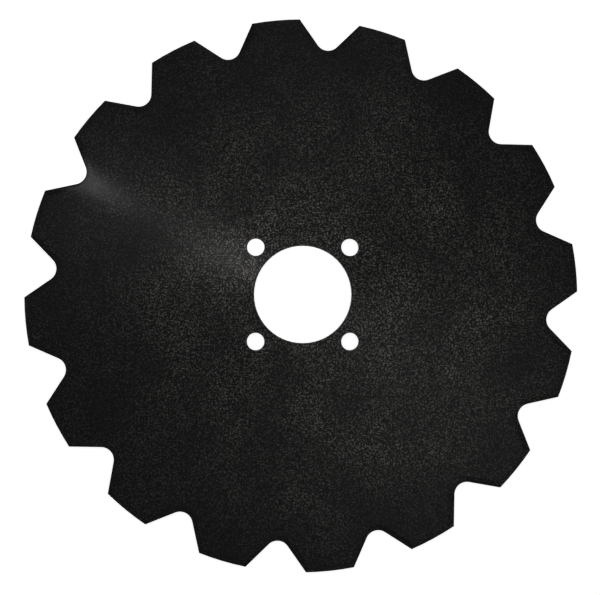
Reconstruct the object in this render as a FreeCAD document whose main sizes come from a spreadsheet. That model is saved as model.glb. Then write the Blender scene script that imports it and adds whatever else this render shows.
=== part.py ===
import FreeCAD, Part
import math
import os

import Sketcher

# A notched harrow disc blade: one flat steel plate with a ground cutting rim,
# V notches round the edge, and the bore and bolt holes that fit its hub.
# It lies on its back face in the XY plane, axis along +Z, front face up.

# Driving dimensions, in millimetres and degrees.
SIZES = [
    ("outer_diameter", 410, "over the tooth lands"),
    ("plate_thickness", 5, "of the whole plate"),
    ("bore_diameter", 72.5, "clears the pilot of the hub"),
    ("bolt_circle_diameter", 99, "through the bolt hole centres"),
    ("bolt_hole_diameter", 13, "clears an M12 bolt"),
    ("bolt_hole_count", 4, ""),
    ("first_bolt_angle", 45, "of one bolt hole from +X"),
    ("notch_count", 16, ""),
    ("first_notch_angle", 16.9, "of the centre line of one notch from +X"),
    ("notch_depth", 22.4, "from the rim circle to the root"),
    ("notch_angle", 81, "between the two flanks"),
    ("notch_root_radius", 9.3, ""),
    ("roll_width", 3, "of the rolled front edge, in from the outline"),
    ("roll_depth", 1, "of the rolled front edge, at the outline"),
    ("roll_ease_width", 1.4, "each way, of the chamfer that eases the roll into the face"),
    ("bevel_width", 8, "of the ground bevel on the back face"),
    ("edge_land", 1.2, "wall left at the rim between the roll and the bevel"),
    ("hole_break", 0.5, "on the front edge of the bore and bolt holes"),
]

doc = FreeCAD.newDocument("harrow_disc_blade")
sheet = doc.addObject("Spreadsheet::Sheet", "Sizes")
for row, (name, value, note) in enumerate(SIZES, start=1):
    sheet.set(f"A{row}", name)
    sheet.set(f"B{row}", str(value))
    sheet.set(f"C{row}", note)
    sheet.setAlias(f"B{row}", name)
doc.recompute()


def size(name):
    """The present value of one driving dimension."""
    return float(sheet.get(name))


def sketch_on(body, role, name):
    """An empty sketch on one of the body's own origin planes."""
    plane = next(f for f in body.Origin.OriginFeatures if f.Role == role)
    sketch = body.newObject("Sketcher::SketchObject", name)
    sketch.AttachmentSupport = [(plane, "")]
    sketch.MapMode = "FlatFace"
    return sketch


def bind(sketch, name, constraint, formula):
    """Add a driving dimension to a sketch and bind it to the sheet."""
    index = sketch.addConstraint(constraint)
    sketch.renameConstraint(index, name)
    sketch.setExpression(f"Constraints.{name}", formula)


def point(x, y):
    return FreeCAD.Vector(x, y, 0)


def polar(radius, degrees):
    """A point of the XY plane at a radius and an angle from +X."""
    angle = math.radians(degrees)
    return point(radius * math.cos(angle), radius * math.sin(angle))


# The disc's axis, which is also the normal of every circle in its sketches.
AXIS = FreeCAD.Vector(0, 0, 1)

# Names that the sketcher gives to its origin, its X axis and the places on a line or arc.
START, END, CENTRE = range(1, 4)
ORIGIN = (-1, START)
X_AXIS = -1


def round_sketch(body, name, diameter):
    """A sketch of one circle about the disc's axis, on the back plane."""
    sketch = sketch_on(body, "XY_Plane", name)
    circle = sketch.addGeometry(Part.Circle(point(0, 0), AXIS, size(diameter) / 2))
    sketch.addConstraint(Sketcher.Constraint("Coincident", circle, CENTRE, *ORIGIN))
    bind(sketch, diameter,
         Sketcher.Constraint("Diameter", circle, size(diameter)), f"Sizes.{diameter}")
    return sketch


def cut_through(body, sketch, name):
    """Cut a sketch of the back plane through the whole plate above it."""
    pocket = body.newObject("PartDesign::Pocket", name)
    pocket.Profile = sketch
    pocket.Type = "ThroughAll"
    pocket.Reversed = True
    return pocket


def repeat_round_axis(body, feature, name, count):
    """Repeat a cut round the disc's axis."""
    pattern = body.newObject("PartDesign::PolarPattern", name)
    pattern.Originals = [feature]
    pattern.Axis = (feature.Profile[0], ["N_Axis"])
    pattern.Angle = 360
    pattern.setExpression("Occurrences", count)
    body.Tip = pattern
    doc.recompute()
    return pattern


def blank(body):
    """The round plate that the blade is cut from."""
    pad = body.newObject("PartDesign::Pad", "Blank")
    pad.Profile = round_sketch(body, "BlankOutline", "outer_diameter")
    pad.setExpression("Length", "Sizes.plate_thickness")
    doc.recompute()


def rim_bevel(body):
    """The bevel ground round the back of the rim, before the notches are cut.

    The grinding section is a wedge that starts on the back face and rises
    outwards, as far beyond the rim as the bevel is wide.
    """
    rim = size("outer_diameter") / 2
    width = size("bevel_width")
    rise = 2 * (size("plate_thickness") - size("roll_depth") - size("edge_land"))
    corners = [point(rim - width, 0), point(rim + width, 0), point(rim + width, rise)]
    sketch = sketch_on(body, "XZ_Plane", "BevelSection")
    back, side, slope = [
        sketch.addGeometry(Part.LineSegment(a, b))
        for a, b in zip(corners, corners[1:] + corners[:1])
    ]
    for line, following in ((back, side), (side, slope), (slope, back)):
        sketch.addConstraint(Sketcher.Constraint("Coincident", line, END, following, START))
    sketch.addConstraint(Sketcher.Constraint("PointOnObject", back, START, X_AXIS))
    sketch.addConstraint(Sketcher.Constraint("Horizontal", back))
    sketch.addConstraint(Sketcher.Constraint("Vertical", side))
    bind(sketch, "inner_radius",
         Sketcher.Constraint("DistanceX", *ORIGIN, back, START, rim - width),
         "Sizes.outer_diameter / 2 - Sizes.bevel_width")
    bind(sketch, "wedge_length",
         Sketcher.Constraint("DistanceX", back, START, back, END, 2 * width),
         "2 * Sizes.bevel_width")
    bind(sketch, "wedge_rise",
         Sketcher.Constraint("DistanceY", side, START, side, END, rise),
         "2 * (Sizes.plate_thickness - Sizes.roll_depth - Sizes.edge_land)")
    groove = body.newObject("PartDesign::Groove", "RimBevel")
    groove.Profile = sketch
    groove.ReferenceAxis = (sketch, ["V_Axis"])
    groove.Angle = 360
    doc.recompute()


def hub_bore(body):
    """The centre bore that sits over the pilot of the hub."""
    cut_through(body, round_sketch(body, "BoreOutline", "bore_diameter"), "HubBore")
    doc.recompute()


def bolt_holes(body):
    """One bolt hole at its angle on the bolt circle, repeated round the axis."""
    centre = polar(size("bolt_circle_diameter") / 2, size("first_bolt_angle"))
    sketch = sketch_on(body, "XY_Plane", "BoltHoleOutline")
    spoke = sketch.addGeometry(Part.LineSegment(point(0, 0), centre), True)
    hole = sketch.addGeometry(Part.Circle(centre, AXIS, size("bolt_hole_diameter") / 2))
    sketch.addConstraint(Sketcher.Constraint("Coincident", spoke, START, *ORIGIN))
    sketch.addConstraint(Sketcher.Constraint("Coincident", spoke, END, hole, CENTRE))
    bind(sketch, "bolt_radius",
         Sketcher.Constraint("Distance", spoke, size("bolt_circle_diameter") / 2),
         "Sizes.bolt_circle_diameter / 2")
    bind(sketch, "bolt_angle",
         Sketcher.Constraint("Angle", spoke, math.radians(size("first_bolt_angle"))),
         "Sizes.first_bolt_angle")
    bind(sketch, "hole_diameter",
         Sketcher.Constraint("Diameter", hole, size("bolt_hole_diameter")),
         "Sizes.bolt_hole_diameter")
    first = cut_through(body, sketch, "FirstBoltHole")
    repeat_round_axis(body, first, "BoltHoles", "Sizes.bolt_hole_count")


def notches(body):
    """One V notch with a rounded root, repeated round the axis.

    Its flanks are tangent to the root arc and lie evenly about a radial
    centre line. They run as far outside the rim circle as the notch is deep.
    """
    turn = size("first_notch_angle")
    half_angle = size("notch_angle") / 2
    root = size("notch_root_radius")
    rim = size("outer_diameter") / 2
    mouth = rim + size("notch_depth")
    centre_radius = rim - size("notch_depth") + root
    apex_radius = centre_radius - root / math.sin(math.radians(half_angle))
    flank_length = (mouth - apex_radius) / math.cos(math.radians(half_angle))
    tangent_length = root / math.tan(math.radians(half_angle))

    centre = polar(centre_radius, turn)
    apex = polar(apex_radius, turn)
    left_start = apex.add(polar(tangent_length, turn + half_angle))
    left_end = apex.add(polar(flank_length, turn + half_angle))
    right_start = apex.add(polar(tangent_length, turn - half_angle))
    right_end = apex.add(polar(flank_length, turn - half_angle))

    sketch = sketch_on(body, "XY_Plane", "NotchOutline")
    spine = sketch.addGeometry(Part.LineSegment(point(0, 0), polar(mouth, turn)), True)
    arc = sketch.addGeometry(Part.ArcOfCircle(
        Part.Circle(centre, AXIS, root),
        math.radians(turn + half_angle + 90), math.radians(turn - half_angle + 270)))
    left = sketch.addGeometry(Part.LineSegment(left_start, left_end))
    right = sketch.addGeometry(Part.LineSegment(right_start, right_end))
    closing = sketch.addGeometry(Part.LineSegment(right_end, left_end))

    sketch.addConstraint(Sketcher.Constraint("Coincident", spine, START, *ORIGIN))
    sketch.addConstraint(Sketcher.Constraint("PointOnObject", spine, END, closing))
    sketch.addConstraint(Sketcher.Constraint("PointOnObject", arc, CENTRE, spine))
    sketch.addConstraint(Sketcher.Constraint("Tangent", left, START, arc, START))
    sketch.addConstraint(Sketcher.Constraint("Tangent", right, START, arc, END))
    sketch.addConstraint(Sketcher.Constraint("Coincident", left, END, closing, END))
    sketch.addConstraint(Sketcher.Constraint("Coincident", right, END, closing, START))
    sketch.addConstraint(Sketcher.Constraint("Symmetric", left, END, right, END, spine))
    bind(sketch, "turn",
         Sketcher.Constraint("Angle", spine, math.radians(turn)), "Sizes.first_notch_angle")
    bind(sketch, "flank_angle",
         Sketcher.Constraint("Angle", right, START, left, START, math.radians(2 * half_angle)),
         "Sizes.notch_angle")
    bind(sketch, "root_radius",
         Sketcher.Constraint("Radius", arc, root), "Sizes.notch_root_radius")
    bind(sketch, "root_centre",
         Sketcher.Constraint("Distance", *ORIGIN, arc, CENTRE, centre_radius),
         "Sizes.outer_diameter / 2 - Sizes.notch_depth + Sizes.notch_root_radius")
    bind(sketch, "mouth",
         Sketcher.Constraint("Distance", spine, mouth),
         "Sizes.outer_diameter / 2 + Sizes.notch_depth")
    first = cut_through(body, sketch, "FirstNotch")
    repeat_round_axis(body, first, "Notches", "Sizes.notch_count")


def front_edges(shape, outline):
    """Names of the front face's edges: its outline, or those of its holes."""
    front = max(shape.Faces, key=lambda face: face.CenterOfMass.z)
    chosen = []
    for index, edge in enumerate(shape.Edges, start=1):
        if not any(edge.isSame(own) for own in front.Edges):
            continue
        if any(edge.isSame(own) for own in front.OuterWire.Edges) == outline:
            chosen.append(f"Edge{index}")
    return chosen


def rolled_edge(body):
    """The front edge of the whole outline, drawn down by the punch.

    It slopes from the front face to the wall, and a second, flatter chamfer
    eases it into the face.
    """
    base = body.Tip
    roll = body.newObject("PartDesign::Chamfer", "EdgeRoll")
    roll.Base = (base, front_edges(base.Shape, True))
    roll.ChamferType = "Two distances"
    roll.setExpression("Size", "Sizes.roll_width")
    roll.setExpression("Size2", "Sizes.roll_depth")
    doc.recompute()

    ease = body.newObject("PartDesign::Chamfer", "EdgeEase")
    ease.Base = (roll, front_edges(roll.Shape, True))
    ease.setExpression("Size", "Sizes.roll_ease_width")
    doc.recompute()


def hole_breaks(body):
    """The broken front edges of the bore and the bolt holes."""
    base = body.Tip
    edge_break = body.newObject("PartDesign::Chamfer", "HoleBreaks")
    edge_break.Base = (base, front_edges(base.Shape, False))
    edge_break.setExpression("Size", "Sizes.hole_break")
    doc.recompute()


def disc_blade():
    body = doc.addObject("PartDesign::Body", "disc_blade")
    body.Label = "disc_blade"
    blank(body)
    rim_bevel(body)
    hub_bore(body)
    bolt_holes(body)
    notches(body)
    rolled_edge(body)
    hole_breaks(body)
    return body


blade = disc_blade()
doc.recompute()

for item in doc.Objects:
    if {"Invalid", "Error"} & set(item.State):
        raise RuntimeError(f"{item.Label} failed: {item.State}")
if blade.Shape.isNull() or not blade.Shape.isValid() or len(blade.Shape.Solids) != 1:
    raise RuntimeError("disc_blade is not one valid solid")

os.makedirs("parts", exist_ok=True)
blade.Shape.exportStep(f"parts/{blade.Label}.step")
box = blade.Shape.optimalBoundingBox(False)
print(f"{blade.Label}: {box.XLength:.2f} x {box.YLength:.2f} x {box.ZLength:.2f} mm, "
      f"{blade.Shape.Volume / 1000:.1f} cm3")
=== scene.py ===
import math

import bpy
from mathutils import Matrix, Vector


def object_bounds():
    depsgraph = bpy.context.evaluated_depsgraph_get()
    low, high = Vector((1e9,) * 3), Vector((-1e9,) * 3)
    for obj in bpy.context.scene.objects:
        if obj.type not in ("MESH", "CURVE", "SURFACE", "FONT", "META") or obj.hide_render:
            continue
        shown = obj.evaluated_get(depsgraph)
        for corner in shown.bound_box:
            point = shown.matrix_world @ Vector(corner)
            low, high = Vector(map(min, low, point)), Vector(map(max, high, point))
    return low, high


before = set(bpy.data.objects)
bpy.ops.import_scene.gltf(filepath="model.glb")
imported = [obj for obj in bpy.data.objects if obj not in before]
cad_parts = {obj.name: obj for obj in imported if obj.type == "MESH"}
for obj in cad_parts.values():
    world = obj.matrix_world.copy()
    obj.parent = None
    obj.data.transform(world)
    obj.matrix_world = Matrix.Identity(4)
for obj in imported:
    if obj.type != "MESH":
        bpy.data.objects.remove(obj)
cad_low, cad_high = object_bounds()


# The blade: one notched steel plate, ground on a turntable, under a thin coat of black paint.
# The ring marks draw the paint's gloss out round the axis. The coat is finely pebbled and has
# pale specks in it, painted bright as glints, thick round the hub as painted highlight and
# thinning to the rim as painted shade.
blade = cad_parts["disc_blade"]
grains_per_metre = 850
clouds_per_metre = 22
pebble_height = 0.0002
# Where the painted glints and painted highlight gather: full within the first radius of this
# point near the hub, thinning out by the second.
glint_centre = (0.03, -0.01, 0)
glints_thick_within = 0.09
glints_thin_beyond = 0.185
bare_paint = (0.003, 0.003, 0.003, 1)
paint_between_specks = (0.0025, 0.0025, 0.0025, 1)
# Pale speck colour, lifted to painted glints: the coat's specks are drawn as bright as where
# they catch the light.
speck_and_glint = (0.33, 0.315, 0.295, 1)

paint = bpy.data.materials.new("black_paint")
paint.use_nodes = True
nodes, links = paint.node_tree.nodes, paint.node_tree.links
nodes.clear()
output = nodes.new("ShaderNodeOutputMaterial")
coat = nodes.new("ShaderNodeBsdfPrincipled")
coat.inputs["Specular IOR Level"].default_value = 0.2
coat.inputs["Anisotropic"].default_value = 0.9
coat.inputs["Anisotropic Rotation"].default_value = 0.25
links.new(coat.outputs["BSDF"], output.inputs["Surface"])

rings = nodes.new("ShaderNodeTangent")
rings.direction_type = "RADIAL"
rings.axis = "Z"
links.new(rings.outputs["Tangent"], coat.inputs["Tangent"])

place = nodes.new("ShaderNodeTexCoord")
grain = nodes.new("ShaderNodeTexNoise")
grain.inputs["Scale"].default_value = grains_per_metre
grain.inputs["Detail"].default_value = 2
grain.inputs["Roughness"].default_value = 0.6
links.new(place.outputs["Object"], grain.inputs["Vector"])

speck_and_glint_ramp = nodes.new("ShaderNodeValToRGB")
speck_and_glint_ramp.color_ramp.elements[0].position = 0.5
speck_and_glint_ramp.color_ramp.elements[0].color = paint_between_specks
speck_and_glint_ramp.color_ramp.elements[1].position = 0.72
speck_and_glint_ramp.color_ramp.elements[1].color = speck_and_glint
links.new(grain.outputs["Fac"], speck_and_glint_ramp.inputs["Fac"])

clouds = nodes.new("ShaderNodeTexNoise")
clouds.inputs["Scale"].default_value = clouds_per_metre
clouds.inputs["Detail"].default_value = 4
links.new(place.outputs["Object"], clouds.inputs["Vector"])

patches = nodes.new("ShaderNodeMapRange")
patches.inputs["From Min"].default_value = 0.35
patches.inputs["From Max"].default_value = 0.65
patches.inputs["To Min"].default_value = 0.35
patches.inputs["To Max"].default_value = 1.0
links.new(clouds.outputs["Fac"], patches.inputs["Value"])

# Painted highlight and shade: the specks and glints are laid thick round a point near the
# hub, off to one side, and thin out towards the rim.
from_centre = nodes.new("ShaderNodeVectorMath")
from_centre.operation = "DISTANCE"
from_centre.inputs[1].default_value = glint_centre
links.new(place.outputs["Object"], from_centre.inputs[0])

painted_hub_highlight = nodes.new("ShaderNodeMapRange")
painted_hub_highlight.inputs["From Min"].default_value = glints_thick_within
painted_hub_highlight.inputs["From Max"].default_value = glints_thin_beyond
painted_hub_highlight.inputs["To Min"].default_value = 1.0
painted_hub_highlight.inputs["To Max"].default_value = 0.28
links.new(from_centre.outputs["Value"], painted_hub_highlight.inputs["Value"])

# Random cloudy patches times the painted fall-off towards the rim give how much speck and
# glint colour shows.
speck_glint_amount = nodes.new("ShaderNodeMath")
speck_glint_amount.operation = "MULTIPLY"
links.new(patches.outputs["Result"], speck_glint_amount.inputs[0])
links.new(painted_hub_highlight.outputs["Result"], speck_glint_amount.inputs[1])

paint_with_specks_and_glints = nodes.new("ShaderNodeMix")
paint_with_specks_and_glints.data_type = "RGBA"
paint_with_specks_and_glints.inputs["A"].default_value = bare_paint
links.new(speck_glint_amount.outputs["Value"], paint_with_specks_and_glints.inputs["Factor"])
links.new(speck_and_glint_ramp.outputs["Color"], paint_with_specks_and_glints.inputs["B"])
links.new(paint_with_specks_and_glints.outputs["Result"], coat.inputs["Base Color"])

dullness = nodes.new("ShaderNodeMapRange")
dullness.inputs["To Min"].default_value = 0.32
dullness.inputs["To Max"].default_value = 0.52
links.new(grain.outputs["Fac"], dullness.inputs["Value"])
links.new(dullness.outputs["Result"], coat.inputs["Roughness"])

pebble = nodes.new("ShaderNodeBump")
pebble.inputs["Strength"].default_value = 0.6
pebble.inputs["Distance"].default_value = pebble_height
links.new(grain.outputs["Fac"], pebble.inputs["Height"])
links.new(pebble.outputs["Normal"], coat.inputs["Normal"])

blade.data.materials.clear()
blade.data.materials.append(paint)


# The floor: a wide pale sheet under the blade, lit as the blade is, so it keeps the shadow.
# A lift that only the camera and reflections see brings it up to white.
floor_size = 8.0
floor_drop = 0.0002
floor_lift = 0.83

bpy.ops.object.select_all(action="DESELECT")
bpy.ops.mesh.primitive_plane_add(size=floor_size, location=(0, 0, cad_low.z - floor_drop))
floor = bpy.context.object
floor.name = "floor"

pale = bpy.data.materials.new("pale_floor")
pale.use_nodes = True
nodes, links = pale.node_tree.nodes, pale.node_tree.links
nodes.clear()
output = nodes.new("ShaderNodeOutputMaterial")
sheet = nodes.new("ShaderNodeBsdfDiffuse")
sheet.inputs["Color"].default_value = (0.8, 0.8, 0.8, 1)
lift = nodes.new("ShaderNodeEmission")
together = nodes.new("ShaderNodeAddShader")
links.new(sheet.outputs["BSDF"], together.inputs[0])
links.new(lift.outputs["Emission"], together.inputs[1])
links.new(together.outputs["Shader"], output.inputs["Surface"])

rays = nodes.new("ShaderNodeLightPath")
seen_or_mirrored = nodes.new("ShaderNodeMath")
seen_or_mirrored.operation = "MAXIMUM"
links.new(rays.outputs["Is Camera Ray"], seen_or_mirrored.inputs[0])
links.new(rays.outputs["Is Glossy Ray"], seen_or_mirrored.inputs[1])
seen_at_all = nodes.new("ShaderNodeMath")
seen_at_all.operation = "MAXIMUM"
links.new(seen_or_mirrored.outputs["Value"], seen_at_all.inputs[0])
links.new(rays.outputs["Is Transmission Ray"], seen_at_all.inputs[1])
lift_strength = nodes.new("ShaderNodeMath")
lift_strength.operation = "MULTIPLY"
lift_strength.inputs[1].default_value = floor_lift
links.new(seen_at_all.outputs["Value"], lift_strength.inputs[0])
links.new(lift_strength.outputs["Value"], lift.inputs["Strength"])
floor.data.materials.append(pale)


# The room: an even, dim surround that lights every side. The camera sees it as white, so it
# runs on from the floor.
room_light = 0.135
room_seen = 1.0

room = bpy.data.worlds.new("room")
bpy.context.scene.world = room
room.use_nodes = True
nodes, links = room.node_tree.nodes, room.node_tree.links
walls = nodes["Background"]
walls.inputs["Color"].default_value = (1, 1, 1, 1)
rays = nodes.new("ShaderNodeLightPath")
brightness = nodes.new("ShaderNodeMapRange")
brightness.inputs["To Min"].default_value = room_light
brightness.inputs["To Max"].default_value = room_seen
links.new(rays.outputs["Is Camera Ray"], brightness.inputs["Value"])
links.new(brightness.outputs["Result"], walls.inputs["Strength"])


# The lamps: soft square panels over the blade. A broad key and two overhead lamps light the
# whole face. Three small ones stand in a row over one radius and draw the streak along it.
def panel(name, place, aim, width, watts):
    """A square panel at a place, turned to face a point."""
    data = bpy.data.lights.new(name, "AREA")
    data.shape = "SQUARE"
    data.size = width
    data.energy = watts
    lamp = bpy.data.objects.new(name, data)
    bpy.context.scene.collection.objects.link(lamp)
    lamp.location = place
    lamp.rotation_euler = (Vector(aim) - Vector(place)).to_track_quat("-Z", "Y").to_euler()
    lamp.visible_camera = False


def over_streak(radius, height):
    """A point over the streak, at a radius and a height above the face."""
    turn = math.radians(152)
    return (radius * math.cos(turn), radius * math.sin(turn), cad_high.z + height)


middle = (0, 0, cad_high.z)
panel("key", (0.15, 1.0, 1.1), middle, width=0.9, watts=1.2)
panel("top", (0.05, -0.03, 0.9), (0.05, -0.03, cad_high.z), width=0.3, watts=0.4)
panel("side", (0.25, -0.2, 0.9), middle, width=0.3, watts=0.35)
panel("streak_far", over_streak(0.226, 0.5), middle, width=0.05, watts=0.1)
panel("streak_hub", over_streak(0.06, 0.06), over_streak(0.045, 0), width=0.02, watts=0.0075)
panel("streak_rim", over_streak(0.19, 0.03), over_streak(0.05, 0), width=0.015, watts=0.011)


# The camera: above the blade and nearly square to its face, a little towards the lower left.
camera_data = bpy.data.cameras.new("camera")
camera_data.lens = 50
camera_data.sensor_width = 36
camera_data.clip_start = 0.01
camera = bpy.data.objects.new("camera", camera_data)
bpy.context.scene.collection.objects.link(camera)
camera.location = (-0.01616, -0.01294, 0.6213)
camera.rotation_euler = [math.radians(turn) for turn in (0.982, -1.303, 0.035)]
bpy.context.scene.camera = camera
bpy.context.scene.view_settings.view_transform = "Standard"
